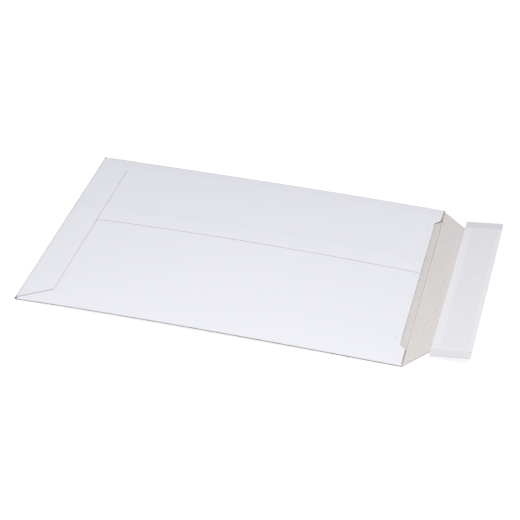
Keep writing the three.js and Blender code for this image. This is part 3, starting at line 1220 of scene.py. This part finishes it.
class StripTree:
    """Geometry Nodes tree of a thin strip with rounded corners that is laid on the closing flap."""

    name = "flap_strip"
    lengths = ("Width", "Length", "Thickness", "Corner Radius", "Across Flap", "Along Flap", "Bed",
               "Fold Station", "Step Width", "Step Length", "Step Centre", "Step Height", "End Curl",
               "End Start", "Wrinkle Height")
    angles = ("Askew", "Tilt")
    counts = ("Rows Across", "Rows Along")
    wrinkle_half_width = 1.6
    step_softness = 1.2
    curl_length = 10.0
    sharp_angle = 50.0
    merge_distance = 1e-6
    least_reach = 1e-9
    corner_least = 1e-7

    def __init__(self) -> None:
        """Makes the tree with its named inputs."""
        self.tree = bpy.data.node_groups.new(self.name, "GeometryNodeTree")
        interface = self.tree.interface
        self.identifiers = {}
        for names, kind in ((self.lengths + self.angles, "NodeSocketFloat"), (self.counts, "NodeSocketInt"),
                            (("Material",), "NodeSocketMaterial")):
            for name in names:
                socket = interface.new_socket(name, in_out="INPUT", socket_type=kind)
                self.identifiers[name] = socket.identifier
        interface.new_socket("Geometry", in_out="OUTPUT", socket_type="NodeSocketGeometry")
        self.fill(NodeGraph(self.tree))

    def fill(self, graph: NodeGraph) -> None:
        """Lays out the tree: grid, rounded corners, relief, thickness and place on the flap.

        Args:
            graph: The tree's graph.
        """
        size = graph.add("NodeGroupInput").outputs
        grid = graph.add("GeometryNodeMeshGrid", {
            "Size X": size["Width"], "Size Y": size["Length"],
            "Vertices X": size["Rows Across"], "Vertices Y": size["Rows Along"]}).outputs["Mesh"]
        rounded = self.round_corners(graph, size, grid)
        place = graph.add("GeometryNodeInputPosition").outputs[0]
        marked = graph.add("GeometryNodeStoreNamedAttribute", {
            "Geometry": rounded, "Name": Trait.STRIP_PLACE.value, "Value": place}, data_type="FLOAT_VECTOR")
        rise = graph.join(Z=self.relief(graph, size, place))
        shaped = graph.add("GeometryNodeSetPosition", {
            "Geometry": marked.outputs[0], "Offset": rise}).outputs[0]
        top = graph.add("GeometryNodeExtrudeMesh", {
            "Mesh": shaped, "Offset": (0.0, 0.0, 1.0), "Offset Scale": size["Thickness"],
            "Individual": False}, mode="FACES").outputs["Mesh"]
        under = graph.add("GeometryNodeFlipFaces", {"Mesh": shaped}).outputs[0]
        joined = graph.add("GeometryNodeJoinGeometry")
        for part in (top, under):
            graph.feed(joined.inputs[0], part)
        closed = graph.add("GeometryNodeMergeByDistance", {
            "Geometry": joined.outputs[0], "Distance": self.merge_distance}).outputs[0]
        turn = graph.join(Z=size["Askew"])
        seat = graph.join(X=size["Across Flap"], Y=size["Along Flap"], Z=size["Bed"])
        laid = graph.add("GeometryNodeTransform", {
            "Geometry": closed, "Translation": seat, "Rotation": turn}).outputs[0]
        hinge = graph.join(X=size["Fold Station"])
        lift = graph.join(Y=graph.math("MULTIPLY", size["Tilt"], -1.0))
        raised = graph.add("GeometryNodeTransform", {
            "Geometry": laid, "Translation": hinge, "Rotation": lift}).outputs[0]
        realized = graph.add("GeometryNodeRealizeInstances", {"Geometry": raised}).outputs[0]
        dressed = graph.add("GeometryNodeSetMaterial", {"Geometry": realized, "Material": size["Material"]})
        graph.add("NodeGroupOutput", {0: dressed.outputs[0]})

    def round_corners(self, graph: NodeGraph, size: object, grid: object) -> bpy.types.NodeSocket:
        """Draws the grid's square corners in to arcs.

        Args:
            graph: The tree's graph.
            size: The tree's input sockets.
            grid: The flat grid.

        Returns:
            The grid with rounded corners.
        """
        axes = graph.split(graph.add("GeometryNodeInputPosition").outputs[0])
        past = []
        for axis, name in enumerate(("Width", "Length")):
            half = graph.math("MULTIPLY", size[name], 0.5)
            straight = graph.math("SUBTRACT", half, size["Corner Radius"])
            beyond = graph.math("SUBTRACT", graph.math("ABSOLUTE", axes[axis]), straight)
            past.append(graph.math("MAXIMUM", beyond, 0.0))
        reach = graph.math("MAXIMUM", graph.distance(*past), self.least_reach)
        share = graph.math("SUBTRACT", graph.math("DIVIDE", graph.math("MAXIMUM", *past), reach), 1.0)
        in_corner = graph.math("GREATER_THAN", graph.math("MINIMUM", *past), self.corner_least)
        moves = []
        for axis, length in enumerate(past):
            inward = graph.math("MULTIPLY", graph.math("MULTIPLY", length, share), in_corner)
            moves.append(graph.math("MULTIPLY", inward, graph.math("SIGN", axes[axis])))
        offset = graph.join(X=moves[0], Y=moves[1])
        return graph.add("GeometryNodeSetPosition", {"Geometry": grid, "Offset": offset}).outputs[0]

    def relief(self, graph: NodeGraph, size: object, place: object) -> bpy.types.NodeSocket:
        """Height of the strip: the step over what lies under it, its curled ends and one arched wrinkle.

        Args:
            graph: The tree's graph.
            size: The tree's input sockets.
            place: Where a point lies on the flat strip.

        Returns:
            The height's socket.
        """
        axes = graph.split(place)
        along = graph.math("ABSOLUTE", axes[1])
        across = graph.math("ABSOLUTE", graph.math("SUBTRACT", axes[0], size["Step Centre"]))
        soft = self.step_softness * MM
        step = size["Step Height"]
        for distance, name in ((across, "Step Width"), (along, "Step Length")):
            inside = graph.math("SUBTRACT", graph.math("MULTIPLY", size[name], 0.5), distance)
            step = graph.math("MULTIPLY", step, graph.fade(inside, -soft, soft))
        free = graph.math("MAXIMUM", graph.math("SUBTRACT", along, size["End Start"]), 0.0)
        bent = graph.math("POWER", graph.math("DIVIDE", free, self.curl_length * MM), 2.0)
        curl = graph.math("MULTIPLY", bent, size["End Curl"])
        arc = WRINKLE.mask(graph, axes, self.wrinkle_half_width)
        wrinkle = graph.math("MULTIPLY", arc, size["Wrinkle Height"])
        return graph.math("ADD", graph.math("ADD", step, curl), wrinkle)

    def make(self, name: str, values: dict[str, float | int],
             material: bpy.types.Material) -> bpy.types.Object:
        """Runs the tree with a set of sizes and keeps the result as a plain mesh.

        Args:
            name: The piece's name.
            values: Lengths in millimetres, angles in degrees and counts, by input name.
            material: The strip's material.

        Returns:
            The piece, linked to the scene.
        """
        piece = bpy.data.objects.new(name, bpy.data.meshes.new(name))
        bpy.context.scene.collection.objects.link(piece)
        modifier = piece.modifiers.new("strip", "NODES")
        modifier.node_group = self.tree
        for key in self.lengths:
            modifier[self.identifiers[key]] = values.get(key, 0.0) * MM
        for key in self.angles:
            modifier[self.identifiers[key]] = math.radians(values.get(key, 0.0))
        for key in self.counts:
            modifier[self.identifiers[key]] = int(values[key])
        modifier[self.identifiers["Material"]] = material
        graph = bpy.context.evaluated_depsgraph_get()
        shaped = piece.evaluated_get(graph)
        mesh = bpy.data.meshes.new_from_object(shaped, preserve_all_data_layers=True, depsgraph=graph)
        piece.modifiers.clear()
        mesh.materials.clear()
        mesh.materials.append(material)
        piece.data = mesh
        mesh.name = name
        mesh.shade_smooth()
        mesh.set_sharp_from_angle(angle=math.radians(self.sharp_angle))
        return piece


@dataclass
class FlapClosure:
    """The adhesive strip on the closing flap and the release liner over it."""

    blank: EnvelopeBlank
    adhesive_width: float = 22.0
    adhesive_thickness: float = 0.1
    adhesive_margin: float = 1.5
    adhesive_corner: float = 2.5
    liner_width: float = 32.0
    liner_thickness: float = 0.1
    liner_edge_overhang: float = 2.0
    liner_end_overhang: float = 10.0
    liner_corner: float = 0.8
    liner_askew: float = -0.74
    liner_shift: float = 0.6
    layer_gap: float = 0.02
    end_curl: float = 0.08
    wrinkle_height: float = 0.16

    def build(self) -> list[bpy.types.Object]:
        """Lays both strips on the flap.

        Returns:
            The adhesive strip and the liner.
        """
        tree = StripTree()
        edge_half = self.blank.half - self.blank.flap_edge_inset
        shared = {"Fold Station": self.blank.mouth_fold, "Tilt": self.blank.flap_tilt}
        adhesive_outer = self.blank.flap_length - self.adhesive_margin
        adhesive_centre = adhesive_outer - self.adhesive_width / 2
        adhesive_length = 2 * (edge_half - self.adhesive_margin)
        bed = self.blank.board + self.layer_gap
        adhesive = tree.make("adhesive_film", {
            **shared, "Width": self.adhesive_width, "Length": adhesive_length,
            "Thickness": self.adhesive_thickness, "Corner Radius": self.adhesive_corner,
            "Across Flap": adhesive_centre, "Bed": bed, "Rows Across": 45, "Rows Along": 183,
        }, AdhesiveFilm().material())
        liner_outer = self.blank.flap_length + self.liner_edge_overhang
        liner_centre = liner_outer - self.liner_width / 2
        liner = tree.make("liner_strip", {
            **shared, "Width": self.liner_width, "Length": 2 * (edge_half + self.liner_end_overhang),
            "Thickness": self.liner_thickness, "Corner Radius": self.liner_corner,
            "Across Flap": liner_centre, "Along Flap": self.liner_shift, "Askew": self.liner_askew,
            "Bed": bed + self.adhesive_thickness + self.layer_gap, "Rows Across": 65, "Rows Along": 206,
            "Step Width": self.adhesive_width, "Step Length": adhesive_length,
            "Step Centre": adhesive_centre - liner_centre, "Step Height": self.adhesive_thickness,
            "End Curl": self.end_curl, "End Start": edge_half, "Wrinkle Height": self.wrinkle_height,
        }, LinerPaper(flap_half=edge_half, half_length=edge_half + self.liner_end_overhang,
                      half_width=self.liner_width / 2).material())
        stands_for = ((adhesive, "adhesive_strip", Slot.ADHESIVE), (liner, "release_liner", Slot.LINER))
        for piece, node, slot in stands_for:
            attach(piece, "root")
            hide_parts(node)
        return [adhesive, liner]


@dataclass
class Studio:
    """Floor, soft light and the camera."""

    floor_half: float = 4000.0
    floor_drop: float = 0.05
    floor_shade: float = 0.21
    floor_glow: float = 0.88
    floor_bounce: float = 0.32
    sky: Colour = (0.846, 0.846, 1.0)
    sky_strength: float = 0.424
    key_place: Point = (135.0, -510.0, 1150.0)
    key_aim: Point = (60.0, -60.0, 0.0)
    key_size: float = 700.0
    key_power: float = 12.65
    key_colour: Colour = (1.0, 0.994, 0.915)

    azimuth: float = 11.932
    elevation: float = 33.37
    roll: float = 2.807
    aim: Point = (18.109, -4.589, 0.0)
    distance: float = 1400.64
    focal_pixels: float = 1661.88
    sensor: float = 36.0
    clip_near: float = 50.0
    clip_far: float = 50000.0

    def floor(self) -> None:
        """Makes the white floor, which keeps the object's shadow."""
        side = self.floor_half * MM
        drop = -self.floor_drop * MM
        mesh = bpy.data.meshes.new("floor")
        corners = [(-side, -side, drop), (side, -side, drop), (side, side, drop), (-side, side, drop)]
        mesh.from_pydata(corners, [], [(0, 1, 2, 3)])
        made = bpy.data.materials.new("white_floor")
        made.use_nodes = True
        graph = NodeGraph(made.node_tree)
        rays = graph.add("ShaderNodeLightPath").outputs
        shown = graph.math("MAXIMUM", rays["Is Camera Ray"], graph.math(
            "MAXIMUM", rays["Is Glossy Ray"], rays["Is Transmission Ray"]))
        white = graph.add("ShaderNodeBsdfDiffuse", {"Color": (*[self.floor_shade] * 3, 1.0)})
        glow = graph.add("ShaderNodeEmission", {"Strength": self.floor_glow})
        seen = graph.add("ShaderNodeAddShader", {0: white.outputs[0], 1: glow.outputs[0]})
        bounce = graph.add("ShaderNodeBsdfDiffuse", {"Color": (*[self.floor_bounce] * 3, 1.0)})
        mixed = graph.add("ShaderNodeMixShader", {0: shown, 1: bounce.outputs[0], 2: seen.outputs[0]})
        graph.add("ShaderNodeOutputMaterial", {"Surface": mixed.outputs[0]})
        mesh.materials.append(made)
        floor = bpy.data.objects.new("floor", mesh)
        bpy.context.scene.collection.objects.link(floor)

    def light(self) -> None:
        """Adds the soft light overhead and the pale sky, which is white to the camera."""
        lamp = bpy.data.lights.new("overhead_softbox", "AREA")
        lamp.shape = "DISK"
        lamp.size = self.key_size * MM
        lamp.energy = self.key_power
        lamp.color = self.key_colour
        box = bpy.data.objects.new("overhead_softbox", lamp)
        place = Vector(self.key_place) * MM
        box.location = place
        box.rotation_euler = (Vector(self.key_aim) * MM - place).to_track_quat("-Z", "Y").to_euler()
        bpy.context.scene.collection.objects.link(box)
        world = bpy.data.worlds.new("studio")
        world.use_nodes = True
        bpy.context.scene.world = world
        graph = NodeGraph(world.node_tree)
        rays = graph.add("ShaderNodeLightPath").outputs
        sky = graph.add("ShaderNodeBackground", {"Color": (*self.sky, 1.0), "Strength": self.sky_strength})
        white = graph.add("ShaderNodeBackground", {"Color": (1.0, 1.0, 1.0, 1.0), "Strength": 1.0})
        mixed = graph.add("ShaderNodeMixShader", {
            0: rays["Is Camera Ray"], 1: sky.outputs[0], 2: white.outputs[0]})
        graph.add("ShaderNodeOutputWorld", {"Surface": mixed.outputs[0]})

    def camera(self) -> None:
        """Places the camera at the photograph's viewing angle."""
        a, e, r = (math.radians(v) for v in (self.azimuth, self.elevation, self.roll))
        back = Vector((math.sin(a) * math.cos(e), -math.cos(a) * math.cos(e), math.sin(e)))
        level = Vector((math.cos(a), math.sin(a), 0.0))
        upright = back.cross(level)
        right = math.cos(r) * level + math.sin(r) * upright
        up = back.cross(right)
        lens = bpy.data.cameras.new("camera")
        lens.sensor_width = self.sensor
        lens.lens = self.focal_pixels / IMAGE_WIDTH * self.sensor
        lens.clip_start = self.clip_near * MM
        lens.clip_end = self.clip_far * MM
        camera = bpy.data.objects.new("camera", lens)
        turn = Matrix((right, up, back)).transposed()
        place = (Vector(self.aim) + back * self.distance) * MM
        camera.matrix_world = Matrix.Translation(place) @ turn.to_4x4()
        bpy.context.scene.collection.objects.link(camera)
        bpy.context.scene.camera = camera

    def build(self) -> None:
        """Sets up the floor, the light, the camera and the plain view transform."""
        self.floor()
        self.light()
        self.camera()
        bpy.context.scene.view_settings.view_transform = "Standard"


def main() -> None:
    """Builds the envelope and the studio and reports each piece."""
    logging.basicConfig(level=logging.INFO, format="%(name)s: %(message)s")
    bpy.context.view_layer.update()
    blank = EnvelopeBlank()
    pieces = [blank.build(), *FlapClosure(blank).build()]
    Studio().build()
    for piece in pieces:
        log.info("%s has %d faces", piece.name, len(piece.data.polygons))
    bpy.context.view_layer.update()


if __name__ == "__main__":
    main()
